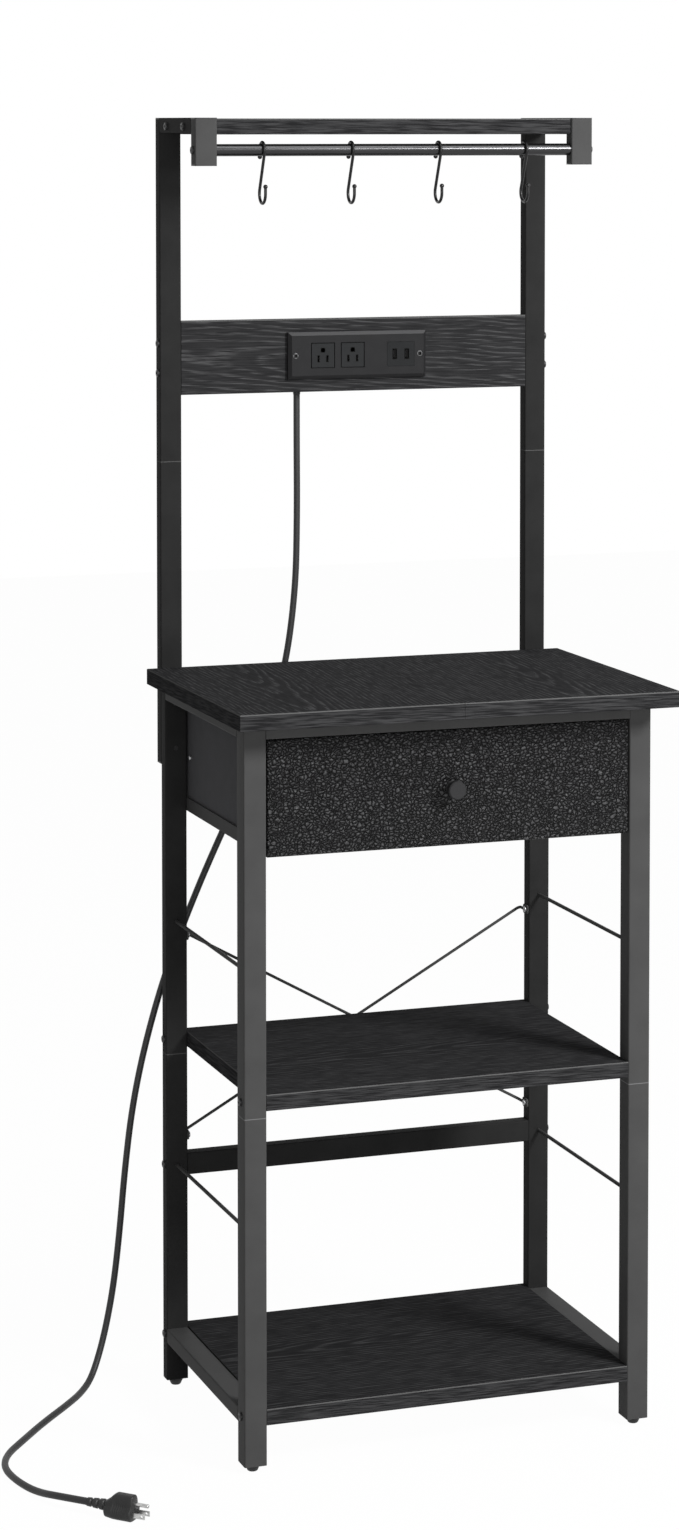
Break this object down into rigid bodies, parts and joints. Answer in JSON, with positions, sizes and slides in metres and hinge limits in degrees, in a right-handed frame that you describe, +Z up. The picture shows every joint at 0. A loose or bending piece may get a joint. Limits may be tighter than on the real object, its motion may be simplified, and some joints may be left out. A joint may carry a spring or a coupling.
{
  "type": "microwave stand with drawer",
  "caption": "Tall tube-framed kitchen stand with board shelves, a shallow sliding drawer, and a hutch that carries a socket strip and a rail of hooks.",
  "frame": {"origin": "on the floor, at the centre of the stand's plan without its cord", "axes": "+X to the viewer's right, +Y to the back, +Z up"},
  "size_m": [0.8701, 0.5287, 1.729],
  "materials": {
    "black_steel": "satin powder coat",
    "black_laminate": "matt wood-grain laminate on particle board",
    "black_leatherette": "pebbled faux leather",
    "dark_cloth": "plain dark cloth on board",
    "black_plastic": "matt moulded",
    "socket_plastic": "fine matt moulded",
    "dark_wire": "black coated wire",
    "zinc_steel": "zinc plated",
    "beech": "plain beech dowel",
    "cord_pvc": "matt flexible jacket",
    "nickel_brass": "nickel plated"
  },
  "bodies": {
    "frame": {"front_leg_lower_left": "black_steel", "front_leg_lower_right": "black_steel", "front_leg_upper_left": "black_steel", "front_leg_upper_right": "black_steel", "rear_leg_lower_left": "black_steel", "rear_leg_lower_right": "black_steel", "rear_leg_upper_left": "black_steel", "rear_leg_upper_right": "black_steel", "hutch_post_lower_left": "black_steel", "hutch_post_lower_right": "black_steel", "hutch_post_upper_left": "black_steel", "hutch_post_upper_right": "black_steel", "bottom_side_rails": "black_steel", "top_side_rails": "black_steel", "front_top_rail": "black_steel", "rear_top_rail": "black_steel", "rear_cross_rail": "black_steel", "side_guard_rods": "black_steel", "back_brace_near": "black_steel", "back_brace_far": "black_steel", "hutch_arms": "black_steel", "rail_brackets": "black_steel", "hanging_rail": "black_steel", "tube_joint_sleeves": "black_steel", "drawer_runners": "black_steel", "frame_bolts": "black_steel", "tube_end_caps": "black_plastic", "foot_inserts": "black_plastic", "outlet_housing": "black_plastic", "cord_strain_relief": "black_plastic", "plug_body": "black_plastic", "tabletop_left": "black_laminate", "tabletop_right": "black_laminate", "bottom_shelf": "black_laminate", "middle_shelf": "black_laminate", "top_shelf": "black_laminate", "outlet_panel": "black_laminate", "tabletop_dowels": "beech", "outlet_faceplate": "socket_plastic", "socket_inserts": "socket_plastic", "charging_module": "socket_plastic", "faceplate_screws": "zinc_steel", "brace_screws": "zinc_steel", "tabletop_screws": "zinc_steel", "power_cord": "cord_pvc", "plug_blades": "nickel_brass"},
    "drawer": {"drawer_front": "black_leatherette", "drawer_sides": "dark_cloth", "drawer_back": "dark_cloth", "drawer_bottom": "dark_cloth", "drawer_knob": "black_plastic", "drawer_screws": "zinc_steel"},
    "hook_1": {"s_hook_1": "dark_wire"},
    "hook_2": {"s_hook_2": "dark_wire"},
    "hook_3": {"s_hook_3": "dark_wire"},
    "hook_4": {"s_hook_4": "dark_wire"},
    "foot_front_left": {"levelling_foot_front_left": "black_plastic"},
    "foot_front_right": {"levelling_foot_front_right": "black_plastic"},
    "foot_rear_left": {"levelling_foot_rear_left": "black_plastic"},
    "foot_rear_right": {"levelling_foot_rear_right": "black_plastic"}
  },
  "joints": [
    {"name": "drawer_slide", "type": "slide", "parent": "frame", "child": "drawer", "axis": [0, -1, 0], "range_m": [0, 0.3]},
    {"name": "hook_1_swing", "type": "hinge", "parent": "frame", "child": "hook_1", "pos_m": [-0.1851, 0.04, 1.6865], "axis": [1, 0, 0], "range_deg": [-60, 60]},
    {"name": "hook_2_swing", "type": "hinge", "parent": "frame", "child": "hook_2", "pos_m": [-0.0617, 0.04, 1.6865], "axis": [1, 0, 0], "range_deg": [-60, 60]},
    {"name": "hook_3_swing", "type": "hinge", "parent": "frame", "child": "hook_3", "pos_m": [0.0617, 0.04, 1.6865], "axis": [1, 0, 0], "range_deg": [-60, 60]},
    {"name": "hook_4_swing", "type": "hinge", "parent": "frame", "child": "hook_4", "pos_m": [0.1851, 0.04, 1.6865], "axis": [1, 0, 0], "range_deg": [-60, 60]},
    {"name": "foot_front_left_turn", "type": "hinge", "parent": "frame", "child": "foot_front_left", "pos_m": [-0.265, -0.159, 0.009], "axis": [0, 0, 1], "continuous": true},
    {"name": "foot_front_right_turn", "type": "hinge", "parent": "frame", "child": "foot_front_right", "pos_m": [0.265, -0.159, 0.009], "axis": [0, 0, 1], "continuous": true},
    {"name": "foot_rear_left_turn", "type": "hinge", "parent": "frame", "child": "foot_rear_left", "pos_m": [-0.265, 0.186, 0.009], "axis": [0, 0, 1], "continuous": true},
    {"name": "foot_rear_right_turn", "type": "hinge", "parent": "frame", "child": "foot_rear_right", "pos_m": [0.265, 0.186, 0.009], "axis": [0, 0, 1], "continuous": true}
  ]
}
